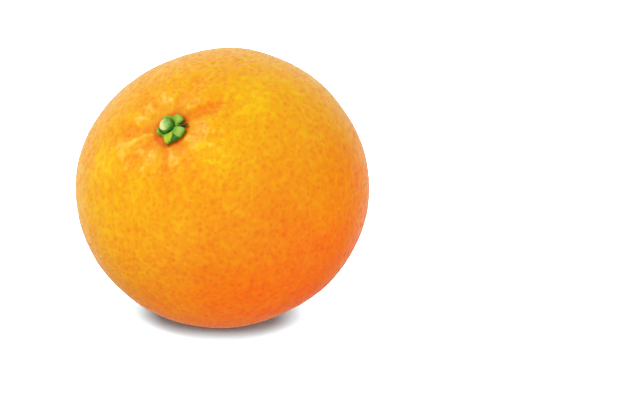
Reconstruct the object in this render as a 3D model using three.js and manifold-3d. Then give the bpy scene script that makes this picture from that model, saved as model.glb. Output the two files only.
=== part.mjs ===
// A whole mandarin with its calyx and the short stub of its stem, lying as it came to rest.
// Millimetres, +Z up. The origin is on the surface it lies on, under the middle of its outline.
//
// Each piece is drawn about the fruit's core line, stem end up, and then leaned over together.
// A place on the peel is given by its fall, the angle from the stem end, and its turn about the core.
import * as THREE from 'three';
import { mergeVertices } from 'three/addons/utils/BufferGeometryUtils.js';
import Module from 'manifold-3d';

const wasm = await Module();
wasm.setup();

const radians = THREE.MathUtils.degToRad;

// Fruit: sizes in millimetres, angles in degrees.
const acrossWide = 67.2; // the equator is a little oval, and this way of it lies level
const acrossNarrow = 63.2;
const endToEnd = 58.5;
const lean = 49.7; // core line from upright, stem end towards -Y
const restingDepth = 0.7; // how much of the round is pressed flat where it lies

// Hollows at both ends, the puffy rim of the stem hollow, and the furrows that run out through it.
const stemHollowDepth = 1.9;
const stemHollowRadius = 7.5;
const blossomHollowDepth = 0.8;
const blossomHollowRadius = 6;
const rimHeight = 0.5;
const rimRadius = 8; // where the rim is highest and the furrows deepest, from the core line
const furrowWidth = 11; // half width, degrees of turn
const furrows = [
  { turn: 38, depth: 0.8 },
  { turn: 81, depth: 0.4 },
  { turn: 140, depth: 0.3 },
  { turn: 194, depth: 0.5 },
  { turn: 236, depth: 0.45 },
  { turn: 288, depth: 0.5 },
  { turn: 318, depth: 0.4 },
];

// Broad swells and flats that keep the peel from being a true round.
const swellSpread = 15;
const swells = [
  { fall: 66, turn: 89, height: 0.26 },
  { fall: 54, turn: 122, height: -0.42 },
  { fall: 50, turn: 152, height: -0.3 },
  { fall: 62, turn: 188, height: 0.1 },
  { fall: 90, turn: 236, height: -0.1 },
  { fall: 99, turn: 45, height: -0.3 },
  { fall: 118, turn: 310, height: -0.35 },
  { fall: 110, turn: 150, height: 0.25 },
  { fall: 80, turn: 10, height: 0.1 },
];

// Calyx: five sepals grown together round the stem.
const calyxAcross = 7.8;
const calyxOffset = 1; // how far its middle lies from the core line
const calyxOffsetTurn = 340;
const calyxThickness = 0.9;
const sepalCount = 5;
const sepalNotch = 1; // how far the outline comes in between two sepals
const sepalTurn = 64; // the first sepal's middle

// Stub of the stem, cut just above the calyx.
const stubAcross = 3.3;
const stubHeight = 1;
const stubFoot = 0.25; // how far the stub flares at its foot
const stubRound = 0.4; // rounding at the cut end

const clearance = 0.35; // between pieces that grow together

const wideRadius = acrossWide / 2;
const narrowRadius = acrossNarrow / 2;
const poleRadius = endToEnd / 2;

function solidFrom(geometry) {
  geometry.deleteAttribute('normal');
  geometry.deleteAttribute('uv');
  const merged = mergeVertices(geometry);
  return new wasm.Manifold(new wasm.Mesh({
    numProp: 3,
    vertProperties: merged.attributes.position.array,
    triVerts: new Uint32Array(merged.index.array),
  }));
}

function geometryFrom(solid) {
  const { vertProperties, triVerts } = solid.getMesh();
  const geometry = new THREE.BufferGeometry();
  geometry.setAttribute('position', new THREE.BufferAttribute(vertProperties, 3));
  geometry.setIndex(new THREE.BufferAttribute(triVerts, 1));
  geometry.computeVertexNormals();
  return geometry;
}

// A round grid with its poles on the core line, each of whose points is moved by place(fall, turn).
function bodyOfRings(segments, rings, place) {
  const geometry = new THREE.SphereGeometry(1, segments, rings).rotateX(Math.PI / 2);
  const point = new THREE.Vector3();
  const position = geometry.attributes.position;
  for (let i = 0; i < position.count; i++) {
    point.fromBufferAttribute(position, i);
    place(point, Math.acos(THREE.MathUtils.clamp(point.z, -1, 1)), Math.atan2(point.y, point.x));
    position.setXYZ(i, point.x, point.y, point.z);
  }
  return geometry;
}

// How deep a round hollow is at a distance from the core line.
function hollow(distance, depth, radius) {
  return depth * Math.exp(-((distance / radius) ** 2));
}

// The rim and its furrows start at nothing on the core line, are full at rimRadius and run out.
function rimShare(distance) {
  const along = distance / rimRadius;
  return along * along * Math.exp(1 - along * along);
}

function furrowDepth(turn) {
  return furrows.reduce((sum, furrow) => {
    const away = Math.cos(turn - radians(furrow.turn)) - 1;
    return sum + furrow.depth * Math.exp(away / (1 - Math.cos(radians(furrowWidth))));
  }, 0);
}

// Height of the peel from the equator's plane at a point beside the core line.
function roundHeight(x, y) {
  return poleRadius * Math.sqrt(Math.max(0, 1 - (x / wideRadius) ** 2 - (y / narrowRadius) ** 2));
}

function stemEndHeight(x, y) {
  const distance = Math.hypot(x, y);
  const sunk = hollow(distance, stemHollowDepth, stemHollowRadius);
  const rim = rimHeight - furrowDepth(Math.atan2(y, x));
  return roundHeight(x, y) - sunk + rim * rimShare(distance);
}

function blossomEndHeight(x, y) {
  return hollow(Math.hypot(x, y), blossomHollowDepth, blossomHollowRadius) - roundHeight(x, y);
}

function swellAt(direction) {
  const middle = new THREE.Vector3();
  return swells.reduce((sum, swell) => {
    middle.setFromSphericalCoords(1, radians(swell.fall), radians(90 + swell.turn));
    middle.set(middle.x, -middle.z, middle.y);
    const away = direction.dot(middle) - 1;
    return sum + swell.height * Math.exp(away / (1 - Math.cos(radians(swellSpread))));
  }, 0);
}

function makeFruit() {
  const rings = 46;
  const segments = 76;
  const gathered = 0.16; // rings are drawn towards both ends, where the hollows are
  const body = bodyOfRings(segments, rings, (point, fall, turn) => {
    const drawn = fall - gathered * Math.sin(2 * fall);
    const x = wideRadius * Math.sin(drawn) * Math.cos(turn);
    const y = narrowRadius * Math.sin(drawn) * Math.sin(turn);
    point.set(x, y, drawn < Math.PI / 2 ? stemEndHeight(x, y) : blossomEndHeight(x, y));
    const outward = point.clone().normalize();
    point.addScaledVector(outward, swellAt(outward));
  });

  const lying = body.clone().rotateX(radians(lean));
  lying.computeBoundingBox();
  const block = new THREE.BoxGeometry(acrossWide, acrossWide, endToEnd);
  block.translate(0, 0, lying.boundingBox.min.z + restingDepth - endToEnd / 2);
  block.rotateX(-radians(lean));
  return geometryFrom(solidFrom(body).subtract(solidFrom(block)));
}

// Half width of the calyx at a turn: full at each sepal's middle, drawn in between two sepals.
function calyxReach(turn) {
  const sepal = Math.abs(Math.cos(((turn - radians(sepalTurn)) * sepalCount) / 2));
  return calyxAcross / 2 - sepalNotch * (1 - Math.sqrt(sepal));
}

// A lens-shaped plate whose underside follows the hollow.
function makeCalyx() {
  const middleX = calyxOffset * Math.cos(radians(calyxOffsetTurn));
  const middleY = calyxOffset * Math.sin(radians(calyxOffsetTurn));
  return bodyOfRings(60, 14, (point, fall, turn) => {
    const distance = Math.sin(fall) * calyxReach(turn);
    const x = middleX + distance * Math.cos(turn);
    const y = middleY + distance * Math.sin(turn);
    const rise = Math.max(0, Math.cos(fall)) * calyxThickness;
    point.set(x, y, stemEndHeight(x, y) + clearance + rise);
  });
}

// A round stub that clears the highest of the calyx under its foot.
function makeStub() {
  const radius = stubAcross / 2;
  const footRadius = radius + stubFoot;
  const turns = Array.from({ length: 12 }, (_, i) => (i * Math.PI) / 6);
  const heights = turns.map((turn) => stemEndHeight(footRadius * Math.cos(turn), footRadius * Math.sin(turn)));
  const foot = Math.max(...heights) + clearance + calyxThickness + clearance;
  const profile = new THREE.Path();
  profile.moveTo(0, foot);
  profile.lineTo(footRadius, foot);
  profile.quadraticCurveTo(radius, foot + stubFoot, radius, foot + 2 * stubFoot);
  profile.lineTo(radius, foot + stubHeight - stubRound);
  profile.quadraticCurveTo(radius, foot + stubHeight, radius - stubRound, foot + stubHeight);
  profile.lineTo(0, foot + stubHeight);
  return new THREE.LatheGeometry(profile.getPoints(5), 32).rotateX(Math.PI / 2);
}

function piece(name, geometry, colour, roughness) {
  const material = new THREE.MeshStandardMaterial({ color: colour, roughness, metalness: 0 });
  const mesh = new THREE.Mesh(geometry, material);
  mesh.name = name;
  return mesh;
}

const lyingFruit = new THREE.Group();
lyingFruit.rotation.x = radians(lean);
lyingFruit.add(
  piece('fruit', makeFruit(), 0xf39a1c, 0.42),
  piece('calyx', makeCalyx(), 0x5f9f33, 0.6),
  piece('stem_stub', makeStub(), 0xa9c062, 0.65),
);

// Stand the flat on the ground, with the outline's middle over the origin.
const outline = new THREE.Box3().setFromObject(lyingFruit, true);
const middle = outline.getCenter(new THREE.Vector3());
lyingFruit.position.set(-middle.x, -middle.y, -outline.min.z);

const mandarin = new THREE.Group();
mandarin.add(lyingFruit);

export default mandarin;
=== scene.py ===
from math import cos, exp, pi, radians, sin, sqrt

import bpy
from mathutils import Matrix, Vector, noise
from mathutils.bvhtree import BVHTree


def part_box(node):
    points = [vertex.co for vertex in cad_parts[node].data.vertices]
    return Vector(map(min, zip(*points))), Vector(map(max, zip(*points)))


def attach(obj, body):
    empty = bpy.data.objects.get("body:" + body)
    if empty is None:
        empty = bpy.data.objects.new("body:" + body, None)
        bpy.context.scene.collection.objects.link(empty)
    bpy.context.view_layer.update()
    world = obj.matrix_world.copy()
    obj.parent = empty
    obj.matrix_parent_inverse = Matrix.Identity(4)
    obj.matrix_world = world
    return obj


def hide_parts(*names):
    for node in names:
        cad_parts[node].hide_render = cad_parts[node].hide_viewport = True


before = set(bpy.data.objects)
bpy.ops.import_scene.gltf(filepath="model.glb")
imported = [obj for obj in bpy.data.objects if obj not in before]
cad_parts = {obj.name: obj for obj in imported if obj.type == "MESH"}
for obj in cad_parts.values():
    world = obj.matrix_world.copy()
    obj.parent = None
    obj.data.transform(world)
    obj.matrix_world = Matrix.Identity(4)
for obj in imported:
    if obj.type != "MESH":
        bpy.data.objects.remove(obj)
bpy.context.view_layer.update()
mm = 0.001
scene = bpy.context.scene


# ---------------------------------------------------------------- the core line
# A mandarin grows round a core that runs from its stem to its blossom end. It is a little
# shorter along the core than across, and this one lies with its stem end leaning forward.
fruit_low, fruit_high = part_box("fruit")
across_wide = fruit_high.x - fruit_low.x
across_narrow = across_wide * 0.94
end_to_end = across_wide * 0.87
lean = radians(49.7)
wide_radius = across_wide / 2
narrow_radius = across_narrow / 2
pole_radius = end_to_end / 2
core_to_side = sqrt((narrow_radius * sin(lean)) ** 2 + (pole_radius * cos(lean)) ** 2)
resting_depth = 0.7 * mm  # how much of the round is pressed flat where it lies
core_middle = Vector((
    (fruit_low.x + fruit_high.x) / 2,
    (fruit_low.y + fruit_high.y) / 2,
    core_to_side - resting_depth,
))
core = Matrix.Translation(core_middle) @ Matrix.Rotation(lean, 4, "X")
core_direction = core.to_3x3() @ Vector((0, 0, 1))


# ---------------------------------------------------------------- the peel
# The peel is a thin waxy rind, pitted all over by its oil glands. It is drawn in at the stem,
# where furrows run out of the hollow, and it swells and flattens where the segments press.
class Wire:
    """An output of a node: arithmetic on it adds Math nodes, and node() adds any other node."""

    def __init__(self, tree, socket=None):
        self.tree = tree
        self.socket = socket

    def node(self, kind, sockets=(), out=0, **settings):
        made = self.tree.nodes.new(kind)
        for name, value in settings.items():
            setattr(made, name, value)
        for name, value in dict(sockets).items():
            if isinstance(value, Wire):
                self.tree.links.new(value.socket, made.inputs[name])
            else:
                made.inputs[name].default_value = value
        return Wire(self.tree, made.outputs[out] if made.outputs else None)

    def math(self, operation, *others, clamp=False):
        sockets = dict(enumerate((self, *others)))
        return self.node("ShaderNodeMath", sockets, operation=operation, use_clamp=clamp)

    def vector(self, operation, other=None, out=0):
        sockets = {0: self} if other is None else {0: self, 1: other}
        return self.node("ShaderNodeVectorMath", sockets, out, operation=operation)

    def scaled(self, amount):
        return self.node("ShaderNodeVectorMath", {0: self, "Scale": amount}, operation="SCALE")

    def part(self, axis):
        return self.node("ShaderNodeSeparateXYZ", {0: self}, out=axis)

    def steps(self, low, high, to_low=0.0, to_high=1.0):
        sockets = {"Value": self, 1: low, 2: high, 3: to_low, 4: to_high}
        return self.node("ShaderNodeMapRange", sockets, interpolation_type="SMOOTHSTEP")

    def grain(self, size, detail=2.0):
        sockets = {"Vector": self, "Scale": 1 / size, "Detail": detail}
        return self.node("ShaderNodeTexNoise", sockets)

    def tint(self, first, second, blend="MIX"):
        sockets = {0: self, 6: first, 7: second}
        return self.node("ShaderNodeMix", sockets, 2, data_type="RGBA", blend_type=blend)

    def __add__(self, other):
        return self.math("ADD", other)

    def __sub__(self, other):
        return self.math("SUBTRACT", other)

    def __mul__(self, other):
        return self.math("MULTIPLY", other)

    def __truediv__(self, other):
        return self.math("DIVIDE", other)

    def __rsub__(self, other):
        return self.node("ShaderNodeMath", {0: other, 1: self}, operation="SUBTRACT")

    def __rtruediv__(self, other):
        return self.node("ShaderNodeMath", {0: other, 1: self}, operation="DIVIDE")

    __radd__ = __add__
    __rmul__ = __mul__


def total(wires):
    """The sum of some wires."""
    first, *others = wires
    for other in others:
        first = first + other
    return first


def off_line(place, foot):
    """How far a place is from the line through a foot point that runs along the core."""
    beside = place.vector("SUBTRACT", tuple(foot)).vector("CROSS_PRODUCT", tuple(core_direction))
    return beside.vector("LENGTH", out=1)


# The calyx sits a little to one side of the core line.
calyx_middle = Vector((0.94, -0.34, 0)) * mm

# Oil glands: a scatter of large pits, each of its own strength, with fine pits between them.
# Where the peel is drawn in round the calyx it is smoother.
gland_spacing = 2.1 * mm
fine_spacing = 1.1 * mm
smooth_reach = 4 * mm
pitted_reach = 10 * mm


def gland_pits(place):
    """How deep the peel is pitted at a place, from 0 to 1."""
    large = {"Vector": place, "Scale": 1 / gland_spacing, "Randomness": 0.9}
    fine = {"Vector": place, "Scale": 1 / fine_spacing, "Randomness": 0.9}
    strength = place.node("ShaderNodeTexVoronoi", large, out=1).part(0).steps(0.0, 0.7, 0.35, 1.0)
    pit = place.node("ShaderNodeTexVoronoi", large).steps(0.05, 0.42, 1.0, 0.0) * strength
    speck = place.node("ShaderNodeTexVoronoi", fine).steps(0.1, 0.6, 0.7, 0.0)
    out_of_neck = off_line(place, core @ calyx_middle).steps(smooth_reach, pitted_reach, 0.25, 1.0)
    return pit.math("MAXIMUM", speck) * out_of_neck


# The side toward the key lamp, where light is painted on the peel, and spots of painted highlight there
# with how far each reaches.
painted_light_side = (-0.55, -0.07, 0.83)


def on_peel(fall, turn):
    """The place on the peel at a fall from the stem end and a turn about the core, in degrees."""
    way = Vector((
        wide_radius * sin(radians(fall)) * cos(radians(turn)),
        narrow_radius * sin(radians(fall)) * sin(radians(turn)),
        pole_radius * cos(radians(fall)),
    ))
    return tuple(core @ way)


painted_highlight_spots = [(on_peel(32, 40), 9 * mm), (on_peel(22, 335), 8 * mm), (on_peel(30, 215), 8 * mm)]


def peel_material():
    material = bpy.data.materials.new("peel")
    material.use_nodes = True
    tree = material.node_tree
    tree.nodes.clear()
    start = Wire(tree)
    place = start.node("ShaderNodeTexCoord", out="Object")
    pits = gland_pits(place)
    furrow = start.node("ShaderNodeAttribute", out="Fac", attribute_name="furrow")
    crest = start.node("ShaderNodeAttribute", out="Fac", attribute_name="crest")
    from_middle = place.vector("SUBTRACT", tuple(core_middle))
    along = from_middle.vector("DOT_PRODUCT", tuple(core_direction), out=1)
    stem_side = along.steps(0, 10 * mm)

    # Painted light: deep orange low down and away from the key lamp, more amber high on the side it
    # lights, in soft patches of tone.
    patches = place.grain(9 * mm, 2)
    mottle = place.grain(1.6 * mm, 2)
    speckle_and_glints = mottle.steps(0.42, 0.66)
    toward_painted_light = from_middle.vector("DOT_PRODUCT", painted_light_side, out=1)
    painted_light_and_patches = toward_painted_light.steps(-34 * mm, 14 * mm) + (patches - 0.5) * 0.5
    colour = painted_light_and_patches.math("ADD", 0, clamp=True).tint((0.92, 0.135, 0.002, 1), (0.9, 0.42, 0.003, 1))
    # Painted shade: the pits are painted a deeper, darker orange.
    colour = (pits * 0.8).tint(colour, (0.97, 0.64, 0.7, 1), "MULTIPLY")
    # Lighter yellow speckles: partly mottled tone, partly painted glints between the pits.
    colour = (speckle_and_glints * 0.85).tint(colour, (1.02, 1.22, 1.2, 1), "MULTIPLY")
    # Painted highlight: soft spots of paler amber, flecked by the speckles.
    for spot_place, spot_reach in painted_highlight_spots:
        away = place.vector("DISTANCE", spot_place, out=1)
        paler = away.steps(0, spot_reach, 1.0, 0.0) * (0.35 + speckle_and_glints * 0.65)
        colour = paler.tint(colour, (0.94, 0.6, 0.004, 1))
    off_calyx = off_line(place, core @ calyx_middle)
    neck = off_calyx.steps(4 * mm, 8 * mm, 1.0, 0.0) * stem_side
    # Painted shade: the stem hollow and the furrows out of it are painted a deeper red-orange; the same
    # mask softens their gloss and grain below.
    drawn_in_and_painted_shade = (neck * 0.55 + furrow * 1.6).math("MINIMUM", 1.0)
    colour = drawn_in_and_painted_shade.tint(colour, (0.98, 0.64, 0.5, 1), "MULTIPLY")
    # Painted shade: a ring of deeper red-orange round the calyx's edge.
    painted_shade_ring = off_calyx.steps(3.8 * mm, 4.7 * mm, 0.85, 0.0) * stem_side
    colour = painted_shade_ring.tint(colour, (0.97, 0.42, 0.1, 1), "MULTIPLY")
    # Painted glints: pale yellow streaks on the wrinkle crests round the calyx.
    painted_glints = (crest + (mottle - 0.5) * 0.5).steps(0.1, 0.34, 0.0, 0.48)
    colour = painted_glints.tint(colour, (1.0, 0.7, 0.1, 1))
    ragged = place.grain(0.5 * mm, 3)
    off_scar = off_line(place, core_middle) + (ragged - 0.5) * (2.2 * mm)
    scar = off_scar.steps(0.5 * mm, 1.2 * mm, 1.0, 0.0) * (1 - stem_side)
    colour = scar.tint(colour, ragged.steps(0.4, 0.62).tint((0.1, 0.045, 0.015, 1), (0.4, 0.22, 0.08, 1)))

    roughness = 0.28 + pits * 0.15 + (patches - 0.5) * 0.1 + drawn_in_and_painted_shade * 0.28 + scar * 0.3
    grit = place.grain(0.22 * mm, 2)
    relief = 1 - pits * 0.85 + mottle * (1 - drawn_in_and_painted_shade * 0.75) * 0.7 + grit * 0.12
    bump = start.node("ShaderNodeBump", {"Height": relief, "Distance": 0.13 * mm, "Strength": 1.0})
    skin = start.node("ShaderNodeBsdfPrincipled", {
        "Base Color": colour,
        "Roughness": roughness,
        "Normal": bump,
        "IOR": 1.36,
        "Specular IOR Level": 0.26,
        "Subsurface Weight": 0.2,
        "Subsurface Radius": (1.0, 0.35, 0.08),
        "Subsurface Scale": 2 * mm,
    })
    start.node("ShaderNodeOutputMaterial", {"Surface": skin})
    return material


# Furrows out of the stem hollow, by their turn about the core and their depth in millimetres.
furrows = [
    (38, 0.8), (81, 0.4), (140, 0.3), (194, 0.5), (236, 0.45), (288, 0.5), (318, 0.4),
]
furrow_half_width = radians(11)

# Swells and flats, by their fall from the stem end, their turn and their height in millimetres.
swells = [
    (66, 89, 0.26), (54, 122, -0.42), (50, 152, -0.3), (62, 188, 0.1), (90, 236, -0.1),
    (99, 45, -0.3), (118, 310, -0.35), (110, 150, 0.25), (80, 10, 0.1),
]
swell_spread = radians(15)


def peel_tree():
    """A round drawn about the core, leaned, laid down, pitted and pressed flat where it rests."""
    tree = bpy.data.node_groups.new("Peel", "GeometryNodeTree")
    tree.interface.new_socket("Geometry", in_out="OUTPUT", socket_type="NodeSocketGeometry")
    sizes = [
        ("Wide Radius", wide_radius),
        ("Narrow Radius", narrow_radius),
        ("Pole Radius", pole_radius),
        ("Stem Hollow Depth", 1.9 * mm),
        ("Stem Hollow Radius", 7.5 * mm),
        ("Blossom Hollow Depth", 0.8 * mm),
        ("Blossom Hollow Radius", 6 * mm),
        ("Rim Height", 0.5 * mm),
        ("Rim Radius", 8 * mm),
        ("Wrinkle Depth", 0.3 * mm),
        ("Lump Height", 0.3 * mm),
        ("Lump Size", 9 * mm),
        ("Pit Depth", 0.1 * mm),
        ("Flat Softness", 0.25 * mm),
    ]
    for name, value in sizes:
        socket = tree.interface.new_socket(name, in_out="INPUT", socket_type="NodeSocketFloat")
        socket.default_value = value
    given = tree.nodes.new("NodeGroupInput")
    size = {name: Wire(tree, given.outputs[name]) for name, _ in sizes}
    start = Wire(tree)
    place = start.node("GeometryNodeInputPosition")
    x, y, z = (place.part(axis) for axis in range(3))
    normal = start.node("GeometryNodeInputNormal")

    # A cube whose faces each get a square chart of their own, three across and two up.
    across = 129
    cube = start.node("GeometryNodeMeshCube", {
        "Size": (2, 2, 2), "Vertices X": across, "Vertices Y": across, "Vertices Z": across,
    })
    facing = start.node(
        "GeometryNodeFieldOnDomain", {0: normal}, domain="FACE", data_type="FLOAT_VECTOR")
    is_x, is_y, is_z = (
        facing.part(axis).math("ABSOLUTE").math("GREATER_THAN", 0.5) for axis in range(3))
    on_far_side = total(facing.part(axis) for axis in range(3)).math("GREATER_THAN", 0)
    chart_across = is_x * y + (1 - is_x) * x
    chart_up = is_z * y + (1 - is_z) * z
    chart = start.node("ShaderNodeCombineXYZ", {
        0: (is_y + 2 * is_z + chart_across * 0.49 + 0.5) / 3,
        1: (on_far_side + chart_up * 0.49 + 0.5) / 2,
    })
    charted = start.node("GeometryNodeStoreNamedAttribute", {
        "Geometry": cube, "Name": "OFBake", "Value": chart,
    }, data_type="FLOAT2", domain="CORNER")

    # Blown up into an even ball, whose places are directions from the fruit's middle.
    evened = start.node("ShaderNodeCombineXYZ", {
        axis: (part * (pi / 4)).math("TANGENT") for axis, part in enumerate((x, y, z))
    })
    ball = start.node("GeometryNodeSetPosition", {
        "Geometry": charted, "Position": evened.vector("NORMALIZE"),
    })

    # The fruit's round, stem end up, with its hollows, furrows and wrinkles.
    flat_x = x * size["Wide Radius"]
    flat_y = y * size["Narrow Radius"]
    off_core = (flat_x * flat_x + flat_y * flat_y).math("SQRT")
    turn = flat_y.math("ARCTAN2", flat_x)

    def hollow(end):
        reach = off_core / size[end + " Hollow Radius"]
        return size[end + " Hollow Depth"] * (reach * reach * -1).math("EXPONENT")

    def furrow(at, depth):
        away = (turn - radians(at)).math("COSINE") - 1
        return (away / (1 - cos(furrow_half_width))).math("EXPONENT") * (depth * mm)

    run = off_core / size["Rim Radius"]
    run = run * run * (1 - run * run).math("EXPONENT")
    furrowed = total(furrow(at, depth) for at, depth in furrows) * run
    spoke = start.node("ShaderNodeCombineXYZ", {
        0: turn.math("COSINE"), 1: turn.math("SINE"), 2: off_core * (1 / (16 * mm)),
    })
    wrinkled = (spoke.grain(0.3, 1) - 0.5) * run * 2 * (1 - furrowed / mm).math("MAXIMUM", 0.2)
    stem_half = z.math("GREATER_THAN", 0)
    raised = size["Rim Height"] * run - wrinkled * size["Wrinkle Depth"] - furrowed
    sunk = stem_half * (hollow("Stem") - raised)
    lifted = (1 - stem_half) * hollow("Blossom")
    rounded = start.node("ShaderNodeCombineXYZ", {
        0: flat_x, 1: flat_y, 2: z * size["Pole Radius"] - sunk + lifted,
    })

    # Broad swells, and the low lumps of the segments under the peel.
    outward = rounded.vector("NORMALIZE")

    def swell(fall, at, height):
        middle = (
            sin(radians(fall)) * cos(radians(at)),
            sin(radians(fall)) * sin(radians(at)),
            cos(radians(fall)),
        )
        away = outward.vector("DOT_PRODUCT", middle, out=1) - 1
        return (away / (1 - cos(swell_spread))).math("EXPONENT") * (height * mm)

    lumps = start.node("ShaderNodeTexNoise", {
        "Vector": rounded, "Scale": 1 / size["Lump Size"], "Detail": 1.0,
    })
    swollen = total(swell(*each) for each in swells) + (lumps - 0.5) * size["Lump Height"]
    shaped = rounded.vector("ADD", outward.scaled(swollen))
    leaned = start.node(
        "ShaderNodeVectorRotate", {"Vector": shaped, "Angle": lean}, rotation_type="X_AXIS")
    marked = ball
    for mark, value in (("furrow", furrowed / mm), ("crest", wrinkled * -1)):
        marked = start.node("GeometryNodeStoreNamedAttribute", {
            "Geometry": marked, "Name": mark, "Value": stem_half * value,
        }, data_type="FLOAT", domain="POINT")
    laid = start.node("GeometryNodeSetPosition", {
        "Geometry": marked, "Position": leaned.vector("ADD", tuple(core_middle)),
    })

    # Now the place is in the object's own frame, and the pits sink along the peel's normal.
    depth = gland_pits(place) * size["Pit Depth"] * -1
    pitted = start.node("GeometryNodeSetPosition", {
        "Geometry": laid, "Offset": normal.scaled(depth),
    })
    softness = size["Flat Softness"]
    pressed = (z + (z * z + softness * softness).math("SQRT")) / 2
    resting = start.node("GeometryNodeSetPosition", {
        "Geometry": pitted,
        "Position": start.node("ShaderNodeCombineXYZ", {0: x, 1: y, 2: pressed}),
    })
    smooth = start.node("GeometryNodeSetShadeSmooth", {"Geometry": resting})
    real = start.node("GeometryNodeRealizeInstances", {"Geometry": smooth})
    finished = start.node("GeometryNodeSetMaterial", {"Geometry": real, "Material": peel_material()})
    end = tree.nodes.new("NodeGroupOutput")
    tree.links.new(finished.socket, end.inputs[0])
    return tree


def grown(name, tree):
    """The plain mesh that a tree of Geometry Nodes makes."""
    seed = bpy.data.objects.new(name + "_seed", bpy.data.meshes.new(name + "_seed"))
    scene.collection.objects.link(seed)
    modifier = seed.modifiers.new("Grow", "NODES")
    modifier.node_group = tree
    for item in tree.interface.items_tree:
        if item.in_out == "INPUT":
            modifier[item.identifier] = item.default_value
    evaluated = seed.evaluated_get(bpy.context.evaluated_depsgraph_get())
    mesh = bpy.data.meshes.new_from_object(evaluated)
    mesh.name = name
    seed.modifiers.remove(modifier)
    bpy.data.objects.remove(seed)
    piece = bpy.data.objects.new(name, mesh)
    scene.collection.objects.link(piece)
    return piece


peel = grown("peel", peel_tree())
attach(peel, "root")
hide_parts("fruit")


# ---------------------------------------------------------------- the calyx
# The calyx is a tough green button: five thick sepals grown together on a thin base, in the
# stem hollow. Their tips stand clear of the peel, and one thin tip has dried brown.
peel_surface = BVHTree.FromPolygons(
    [vertex.co for vertex in peel.data.vertices],
    [tuple(face.vertices) for face in peel.data.polygons])


def peel_height(x, y):
    """How high the peel is over the fruit's middle, at a point beside the core line."""
    above = core @ Vector((x, y, end_to_end))
    return end_to_end - peel_surface.ray_cast(above, -core_direction)[3]


def rings_piece(name, rings, material, marks):
    """A closed mesh of rings about the core line, from its top point out and down to its foot.

    Each ring is a list of points in the core's frame. The first and the last are a point each.
    marks holds a list of values for each named attribute, one value to a point.
    """
    points = [core @ Vector(point) for ring in rings for point in ring]
    count = len(rings[1])
    faces = []
    for row in range(len(rings) - 1):
        upper = 1 + (row - 1) * count
        lower = upper + count
        for one in range(count):
            other = (one + 1) % count
            if row == 0:
                faces.append((0, 1 + one, 1 + other))
            elif row == len(rings) - 2:
                faces.append((upper + one, len(points) - 1, upper + other))
            else:
                faces.append((upper + one, lower + one, lower + other, upper + other))
    mesh = bpy.data.meshes.new(name)
    mesh.from_pydata(points, [], faces)
    for mark, values in marks.items():
        mesh.attributes.new(mark, "FLOAT", "POINT").data.foreach_set("value", values)
    mesh.shade_smooth()
    mesh.materials.append(material)
    piece = bpy.data.objects.new(name, mesh)
    scene.collection.objects.link(piece)
    return piece


# Each sepal's turn and half width in degrees, reach and thickness in millimetres, how blunt its
# tip is, and how yellow its green.
sepals = [
    (68, 34, 3.65, 0.45, 6, 0.5),
    (134, 40, 3.85, 0.4, 1.8, 0.6),
    (196, 36, 3.45, 0.4, 3, 0.8),
    (280, 56, 3.95, 0.45, 1.3, 1.0),
    (347, 31, 3.85, 0.5, 6, 0.2),
]

# The same for the webs, where two sepals have grown together, and for the edges between others.
webs = [(107, 34, 3.15, 0.3, 4, 0.7), (161, 34, 3.15, 0.3, 4, 0.7)]
painted_shadow_edge = (312, 36, 3.4, 0, 4, 0)  # bare base painted dark, put where shade falls between two sepals
dry_tip = (22, 12, 4.2, 0, 1.6, 0)

# The button's other sizes, in millimetres.
calyx_base_reach = 2.5
calyx_base_thickness = 0.9
groove_radius = 1.8  # where the sepals stop, round the stem
collar_radius = 2.3  # a low band that joins them all, outside the groove
collar_height = 0.32
collar_width = 0.4
dish_reach = 4  # the peel under the button is taken as a dish this far out
calyx_clearance = 0.08  # between the button's middle and the peel
sepal_lift = 0.3  # how much further the rim stands off the peel
crinkle_size = 0.6
crinkle_share = 0.06  # of the thickness, up and down


def sepal_edge(sepal, turn):
    """How far out a sepal reaches at a turn: nothing outside its width."""
    away = abs((turn - sepal[0] + 180) % 360 - 180) / sepal[1]
    return sepal[2] * (1 - min(1, away) ** sepal[4])


def pad(reach, radius, steepness):
    """The rounded section of something that ends at its reach: 1 inside, 0 outside."""
    if reach <= radius:
        return 0.0
    return sqrt(1 - (radius / reach) ** steepness)


def smooth_largest(values, power=8):
    return sum(value ** power for value in values) ** (1 / power)


def calyx_section(turn, radius, outline, off_stem):
    """A calyx point's thickness, and how much it is sepal and how yellow and dry it is."""
    lobes = sepals + webs
    pads = [pad(sepal_edge(lobe, turn), radius, 5) for lobe in lobes]
    ring = 1 / (1 + exp(-(off_stem - groove_radius) / 0.12))
    collar = exp(-(((off_stem - collar_radius) / collar_width) ** 2))
    heights = [lobe[3] * each for lobe, each in zip(lobes, pads)]
    height = smooth_largest(heights + [collar_height * collar]) * ring
    base = calyx_base_thickness * (0.7 + 0.3 * ring)
    yellow = sum(lobe[5] * each for lobe, each in zip(lobes, pads)) / (sum(pads) + 0.001)
    dry = pad(sepal_edge(dry_tip, turn), radius, 4) * (1 - min(1, height / 0.3))
    return (base + height) * pad(outline, radius, 9), max(pads + [collar * 0.8]) * ring, yellow, dry


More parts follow.
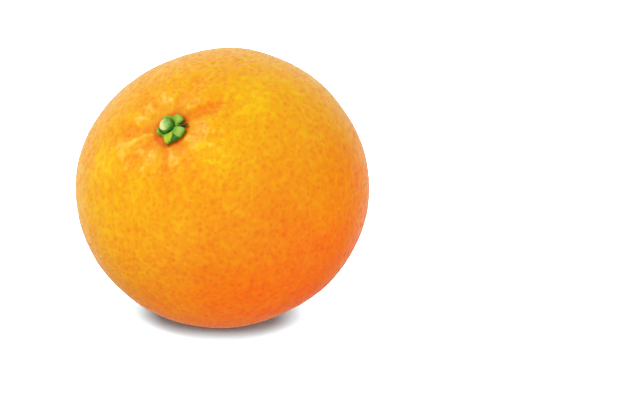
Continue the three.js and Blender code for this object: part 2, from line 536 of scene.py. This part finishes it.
def calyx_piece(material):
    turns = 240
    out_steps = 60
    under_steps = 14
    seat = peel_height(0, 0)
    dish_edge = dish_reach * mm
    rim = [peel_height(dish_edge * cos(turn), dish_edge * sin(turn))
           for turn in (radians(30 * step) for step in range(12))]
    dish = (sum(rim) / len(rim) - seat) / dish_edge ** 2
    edges = sepals + webs + [painted_shadow_edge, dry_tip]
    outlines = [
        smooth_largest([calyx_base_reach] + [sepal_edge(sepal, turn) for sepal in edges], 14)
        for turn in (360 * step / turns for step in range(turns))]
    rings = []
    marks = {"sepal": [], "yellow": [], "dry": []}

    def add_ring(share, is_upper):
        ring = []
        for step in range(turns if share else 1):
            turn = 360 * step / turns
            radius = share * outlines[step]
            way = Vector((cos(radians(turn)), sin(radians(turn)), 0))
            beside = calyx_middle / mm + way * radius
            lift = calyx_clearance + sepal_lift * (radius / dish_reach) ** 3
            height = seat + dish * (beside * mm).length_squared + lift * mm
            section = calyx_section(turn, radius, outlines[step], beside.length)
            if is_upper:
                crinkle = noise.noise(beside / crinkle_size) * crinkle_share
                height += section[0] * (1 + crinkle) * mm
            ring.append((beside.x * mm, beside.y * mm, height))
            marks["sepal"].append(section[1] if is_upper else 0.0)
            marks["yellow"].append(section[2])
            marks["dry"].append(section[3])
        rings.append(ring)

    for step in range(out_steps + 1):
        add_ring(sin(pi / 2 * step / out_steps), True)
    for step in reversed(range(under_steps)):
        add_ring(step / under_steps, False)
    return rings_piece("sepal_button", rings, material, marks)


def calyx_material():
    material = bpy.data.materials.new("calyx")
    material.use_nodes = True
    tree = material.node_tree
    tree.nodes.clear()
    start = Wire(tree)
    place = start.node("ShaderNodeTexCoord", out="Object")
    sepal = start.node("ShaderNodeAttribute", out="Fac", attribute_name="sepal")
    yellow = start.node("ShaderNodeAttribute", out="Fac", attribute_name="yellow")
    dry = start.node("ShaderNodeAttribute", out="Fac", attribute_name="dry")
    cells = place.grain(0.45 * mm, 3)
    broad = place.grain(1.8 * mm, 2)
    # Painted shade: the base and the groove round the stem, below the raised sepals, are painted dark
    # green.
    raised = (sepal + (cells - 0.5) * 0.3).steps(0.1, 0.75)
    colour = raised.tint((0.04, 0.17, 0.01, 1), (0.13, 0.40, 0.02, 1))
    outer = off_line(place, core_middle).steps(2.1 * mm, 3.6 * mm)
    light = (broad + outer * 0.35 + yellow * 0.3 - 0.35).steps(0.1, 0.75) * raised
    ripe = yellow.tint((0.30, 0.56, 0.07, 1), (0.50, 0.60, 0.004, 1))
    colour = light.tint(colour, ripe)
    browned = (dry + (cells - 0.5) * 0.4).steps(0.1, 0.6)
    colour = browned.tint(colour, (0.12, 0.05, 0.012, 1))
    bump = start.node("ShaderNodeBump", {
        "Height": cells + broad * 0.5, "Distance": 0.06 * mm, "Strength": 1.0,
    })
    flesh = start.node("ShaderNodeBsdfPrincipled", {
        "Base Color": colour,
        "Roughness": 0.38 + cells * 0.25,
        "Normal": bump,
        "IOR": 1.42,
        "Subsurface Weight": 0.15,
        "Subsurface Radius": (0.5, 1.0, 0.15),
        "Subsurface Scale": 0.4 * mm,
    })
    start.node("ShaderNodeOutputMaterial", {"Surface": flesh})
    return material


calyx = calyx_piece(calyx_material())
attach(calyx, "root")
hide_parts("calyx")


# ---------------------------------------------------------------- the stem stub
# What is left of the stem: a short round stub that rises out of the calyx, snipped off close.
# Its bark is thin and green, and its cut end is paler, domed a little, still moist, and painted with a
# highlight towards the low side of the cut.
stub_radius = 1.52  # these are in millimetres too
stub_foot_radius = 1.75
stub_foot = 0.3  # how high its hidden foot is over the peel under it
stub_height = 2.25  # and its end
stub_round = 0.85
stub_dome = 0.3
cut_slope = 0.14  # the cut leans, lower on one side
cut_slope_turn = 225


def stub_section():
    """Radius and height of the stub's outline, from its domed end down to its foot."""
    end_steps = 14
    side_steps = 22
    flat = stub_radius - stub_round
    outline = []
    for step in range(end_steps + 1):
        radius = flat * step / end_steps
        outline.append((radius, stub_height + stub_dome * (1 - (radius / stub_radius) ** 2), 1.0))
    shoulder = stub_height + stub_dome * (1 - (flat / stub_radius) ** 2)
    for step in range(1, 9):
        angle = pi / 2 * step / 8
        radius = flat + stub_round * sin(angle)
        outline.append((radius, shoulder - stub_round * 0.8 * (1 - cos(angle)), cos(angle)))
    low = outline[-1][1]
    for step in range(1, side_steps + 1):
        share = step / side_steps
        flare = (stub_foot_radius - stub_radius) * share ** 3
        outline.append((stub_radius + flare, low + (stub_foot - low) * share, 0.0))
    outline.append((0, stub_foot, 0.0))
    return outline


def stub_piece(material):
    turns = 96
    foot = peel_height(0, 0)
    rings = []
    marks = {"cut": []}
    for radius, height, cut in stub_section():
        ring = []
        for step in range(turns if radius else 1):
            turn = 2 * pi * step / turns
            ribbed = 1 + 0.03 * sin(3 * turn + 1) + 0.015 * sin(7 * turn) + 0.01 * sin(12 * turn + 2)
            x = radius * ribbed * cos(turn)
            y = radius * ribbed * sin(turn)
            sloped = height - cut_slope * cut * radius * cos(turn - radians(cut_slope_turn))
            lump = noise.noise(Vector((x, y, height)) / 0.7) * 0.03
            ring.append((x * mm, y * mm, foot + (sloped + lump) * mm))
            marks["cut"].append(cut)
        rings.append(ring)
    return rings_piece("cut_stem", rings, material, marks)


def stub_material():
    material = bpy.data.materials.new("stem")
    material.use_nodes = True
    tree = material.node_tree
    tree.nodes.clear()
    start = Wire(tree)
    place = start.node("ShaderNodeTexCoord", out="Object")
    cut = start.node("ShaderNodeAttribute", out="Fac", attribute_name="cut")
    fibres = place.grain(0.3 * mm, 3)
    broad = place.grain(1.4 * mm, 2)
    bark = broad.steps(0.3, 0.7).tint((0.03, 0.14, 0.015, 1), (0.11, 0.34, 0.03, 1))
    # Painted highlight: the cut end is painted paler towards the low side of its slope.
    low_side = core.to_3x3() @ Vector((cos(radians(cut_slope_turn)), sin(radians(cut_slope_turn)), 0))
    toward_stub_highlight = place.vector("SUBTRACT", tuple(core_middle)).vector("DOT_PRODUCT", tuple(low_side), out=1)
    cut_face_and_highlight = (fibres * 0.5 + broad * 0.4 + toward_stub_highlight.steps(-1.2 * mm, 1.2 * mm) * 0.5).steps(0.4, 0.95).tint(
        (0.12, 0.38, 0.02, 1), (0.78, 0.86, 0.30, 1))
    colour = cut.steps(0.25, 0.8).tint(bark, cut_face_and_highlight)
    bump = start.node("ShaderNodeBump", {
        "Height": fibres, "Distance": 0.05 * mm, "Strength": 1.0,
    })
    flesh = start.node("ShaderNodeBsdfPrincipled", {
        "Base Color": colour,
        "Roughness": 0.3 + fibres * 0.2,
        "Normal": bump,
        "IOR": 1.45,
        "Subsurface Weight": 0.15,
        "Subsurface Radius": (0.5, 1.0, 0.2),
        "Subsurface Scale": 0.4 * mm,
    })
    start.node("ShaderNodeOutputMaterial", {"Surface": flesh})
    return material


stem_stub = stub_piece(stub_material())
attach(stem_stub, "root")
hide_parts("stem_stub")


# ---------------------------------------------------------------- the table
# A plain pale table top, matt and far wider than the fruit. The fruit lies on it by its own
# weight, and the table throws no light or reflection back on to the peel.
def table_material():
    material = bpy.data.materials.new("table")
    material.use_nodes = True
    shader = material.node_tree.nodes["Principled BSDF"]
    shader.inputs["Base Color"].default_value = (0.145, 0.156, 0.16, 1)
    shader.inputs["Emission Color"].default_value = (1, 1, 1, 1)
    shader.inputs["Emission Strength"].default_value = 0.08
    shader.inputs["Roughness"].default_value = 1.0
    shader.inputs["Specular IOR Level"].default_value = 0.0
    return material


table_reach = 8
table_mesh = bpy.data.meshes.new("table")
table_mesh.from_pydata(
    [(-table_reach, -table_reach, 0), (table_reach, -table_reach, 0),
     (table_reach, table_reach, 0), (-table_reach, table_reach, 0)],
    [], [(0, 1, 2, 3)])
table = bpy.data.objects.new("table", table_mesh)
table.data.materials.append(table_material())
table.visible_diffuse = False
table.visible_glossy = False
table.visible_shadow = False
scene.collection.objects.link(table)


# ---------------------------------------------------------------- light and camera
# A white room with one small lamp high on the left, which gives the peel its gloss, and three
# very broad ones that fill the shade. The lens is long and stands a little above the table.
world = bpy.data.worlds.new("room")
scene.world = world
world.use_nodes = True

view_azimuth = radians(31.9)
view_elevation = radians(14.7)
back = Vector((
    sin(view_azimuth) * cos(view_elevation),
    -cos(view_azimuth) * cos(view_elevation),
    sin(view_elevation),
))
right = Vector((cos(view_azimuth), sin(view_azimuth), 0))
upward = back.cross(right)

# The room is white behind the fruit, and dimmer overhead and on the side it is looked at from.
sky = Wire(world.node_tree)
glance = sky.node("ShaderNodeTexCoord", out="Generated")
rise = glance.part(2)
facing = glance.vector("DOT_PRODUCT", tuple(Vector((back.x, back.y, 0)).normalized()), out=1)
white_wall = facing.steps(-0.9, -0.3, 0.75, 0.0) * rise.steps(-0.65, -0.3)
seen = sky.node("ShaderNodeLightPath", out="Is Camera Ray")
world.node_tree.links.new(
    (white_wall + rise.steps(0.2, 1.0, 0.26, 0.45)).math("MAXIMUM", seen).socket,
    world.node_tree.nodes["Background"].inputs["Strength"])
world.node_tree.nodes["Background"].inputs["Color"].default_value = (1, 1, 1, 1)


lamp_distance = 0.6


def soft_lamp(name, way, strength, width):
    """A lamp so far off that it lights everything evenly, as wide as an angle in degrees."""
    lamp_data = bpy.data.lights.new(name, "SUN")
    lamp_data.energy = strength
    lamp_data.angle = radians(width)
    lamp = bpy.data.objects.new(name, lamp_data)
    lamp.location = core_middle + way.normalized() * lamp_distance
    lamp.rotation_mode = "QUATERNION"
    lamp.rotation_quaternion = (-way).to_track_quat("-Z", "Y")
    scene.collection.objects.link(lamp)
    return lamp


soft_lamp("key", right * -0.63 + upward * 0.73 + back * 0.27, 1.0, 9)
for name, way, strength in (
    ("fill_left", back * 0.6 - right, 1.2),
    ("fill_right", back * 0.6 + right, 1.6),
    ("fill_below", back * 0.4 - upward, 1.15),
):
    fill = soft_lamp(name, way, strength, 120)
    fill.visible_glossy = False

# Lamps round the table light it alone, and lift its shadow everywhere but close to the fruit.
table_lamp_strength = 36
table_lamp_width = 46
table_only = bpy.data.collections.new("lit_by_table_lamps")
table_only.objects.link(table)
level_back = Vector((back.x, back.y, 0)).normalized()
for name, level_way, climb in (
    ("table_front", level_back, 43), ("table_left", -right, 62), ("table_right", right, 57),
):
    way = level_way * cos(radians(climb)) + Vector((0, 0, sin(radians(climb))))
    table_lamp = soft_lamp(name, way, table_lamp_strength, table_lamp_width)
    table_lamp.light_linking.receiver_collection = table_only

# The fruit stands left of the middle of the picture and a little above it.
lens = 120
sensor = 36
shown_width = 0.1429  # how much of the fruit's plane the picture's width takes in, in metres
distance = shown_width * lens / sensor
aside = 0.1527  # of the picture's width, left of its middle
above = 0.0289  # of the picture's width, above its middle
camera_data = bpy.data.cameras.new("camera")
camera_data.lens = lens
camera_data.sensor_width = sensor
camera = bpy.data.objects.new("camera", camera_data)
camera.location = core_middle + back * distance
forward = -back + right * (aside * sensor / lens) - upward * (above * sensor / lens)
camera.rotation_mode = "QUATERNION"
camera.rotation_quaternion = forward.to_track_quat("-Z", "Y")
scene.collection.objects.link(camera)
scene.camera = camera

scene.view_settings.view_transform = "Standard"
